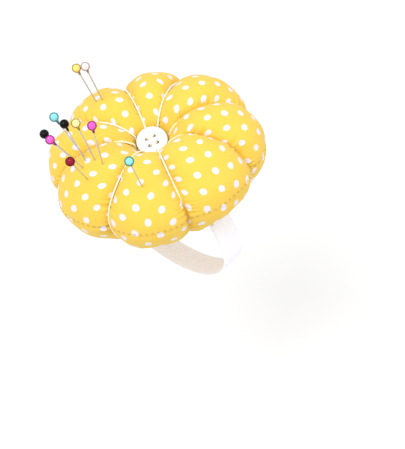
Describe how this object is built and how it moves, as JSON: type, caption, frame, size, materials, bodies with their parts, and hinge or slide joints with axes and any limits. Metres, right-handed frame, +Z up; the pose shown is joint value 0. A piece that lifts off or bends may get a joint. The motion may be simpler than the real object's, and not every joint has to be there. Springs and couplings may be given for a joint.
{
  "type": "wrist pin cushion",
  "caption": "Round lobed fabric cushion that holds ball-headed sewing pins, tied with thread through a middle button, worn on the wrist by an elastic loop.",
  "frame": {"origin": "the middle of the flat underside of the base, where it rests on the wrist", "axes": "+Z up along the cushion's axis towards the button, +X along the forearm through the elastic loop, towards the elbow; the loop lies in the YZ plane"},
  "size_m": [0.1006, 0.1004, 0.1131],
  "materials": {
    "cover_cotton": "woven cotton, bright yellow with round white dots",
    "filling": "loose white polyester fibre",
    "base_card": "plain thin sheet",
    "white_thread": "twisted thick thread, off-white",
    "yellow_thread": "fine sewing thread, yellow",
    "elastic": "knitted elastic tape, white, ribbed along its length",
    "button_plastic": "smooth white, slightly dished",
    "pin_steel": "polished wire",
    "head_yellow": "pearl, golden yellow",
    "head_blush": "pearl, pale pink",
    "head_cyan": "pearl, light blue",
    "head_black": "pearl, black",
    "head_cream": "pearl, pale yellow",
    "head_magenta": "pearl, pink-purple",
    "head_wine": "pearl, dark red"
  },
  "bodies": {
    "root": {"cushion_cover": "cover_cotton", "fibre_filling": "filling", "base_cover": "cover_cotton", "base_disc": "base_card", "wrap_thread_1": "white_thread", "wrap_thread_2": "white_thread", "wrap_thread_3": "white_thread", "wrap_thread_4": "white_thread", "wrap_thread_5": "white_thread", "wrap_thread_6": "white_thread", "wrap_thread_7": "white_thread", "wrap_thread_8": "white_thread", "seam_thread": "yellow_thread", "tie_thread": "white_thread", "button": "button_plastic", "button_stitch_1": "white_thread", "button_stitch_2": "white_thread", "band_strap_far": "elastic", "band_strap_near": "elastic", "band_tack_far": "white_thread", "band_tack_near": "white_thread"},
    "band": {"band_loop": "elastic"},
    "pin_1": {"pin_shaft_1": "pin_steel", "pin_head_1": "head_yellow"},
    "pin_2": {"pin_shaft_2": "pin_steel", "pin_head_2": "head_blush"},
    "pin_3": {"pin_shaft_3": "pin_steel", "pin_head_3": "head_cyan"},
    "pin_4": {"pin_shaft_4": "pin_steel", "pin_head_4": "head_black"},
    "pin_5": {"pin_shaft_5": "pin_steel", "pin_head_5": "head_cream"},
    "pin_6": {"pin_shaft_6": "pin_steel", "pin_head_6": "head_magenta"},
    "pin_7": {"pin_shaft_7": "pin_steel", "pin_head_7": "head_black"},
    "pin_8": {"pin_shaft_8": "pin_steel", "pin_head_8": "head_magenta"},
    "pin_9": {"pin_shaft_9": "pin_steel", "pin_head_9": "head_wine"},
    "pin_10": {"pin_shaft_10": "pin_steel", "pin_head_10": "head_cyan"}
  },
  "joints": [
    {"name": "band_stretch", "type": "slide", "parent": "root", "child": "band", "axis": [0, 0, -1], "range_m": [0, 0.015], "stiffness_N_per_m": 300, "deforming": ["band_strap_far", "band_strap_near"]},
    {"name": "pin_1_pull", "type": "slide", "parent": "root", "child": "pin_1", "axis": [-0.1859, 0.0429, 0.9816], "range_m": [0, 0.016]},
    {"name": "pin_2_pull", "type": "slide", "parent": "root", "child": "pin_2", "axis": [-0.2071, -0.0879, 0.9744], "range_m": [0, 0.016]},
    {"name": "pin_3_pull", "type": "slide", "parent": "root", "child": "pin_3", "axis": [-0.1683, 0.2592, 0.9511], "range_m": [0, 0.016]},
    {"name": "pin_4_pull", "type": "slide", "parent": "root", "child": "pin_4", "axis": [-0.1368, 0.0758, 0.9877], "range_m": [0, 0.016]},
    {"name": "pin_5_pull", "type": "slide", "parent": "root", "child": "pin_5", "axis": [-0.1476, -0.0077, 0.989], "range_m": [0, 0.016]},
    {"name": "pin_6_pull", "type": "slide", "parent": "root", "child": "pin_6", "axis": [-0.0269, -0.0829, 0.9962], "range_m": [0, 0.016]},
    {"name": "pin_7_pull", "type": "slide", "parent": "root", "child": "pin_7", "axis": [-0.3774, 0.1011, 0.9205], "range_m": [0, 0.016]},
    {"name": "pin_8_pull", "type": "slide", "parent": "root", "child": "pin_8", "axis": [-0.3656, 0.1783, 0.9135], "range_m": [0, 0.016]},
    {"name": "pin_9_pull", "type": "slide", "parent": "root", "child": "pin_9", "axis": [-0.3892, -0.2625, 0.8829], "range_m": [0, 0.016]},
    {"name": "pin_10_pull", "type": "slide", "parent": "root", "child": "pin_10", "axis": [-0.2745, -0.2304, 0.9336], "range_m": [0, 0.016]}
  ]
}
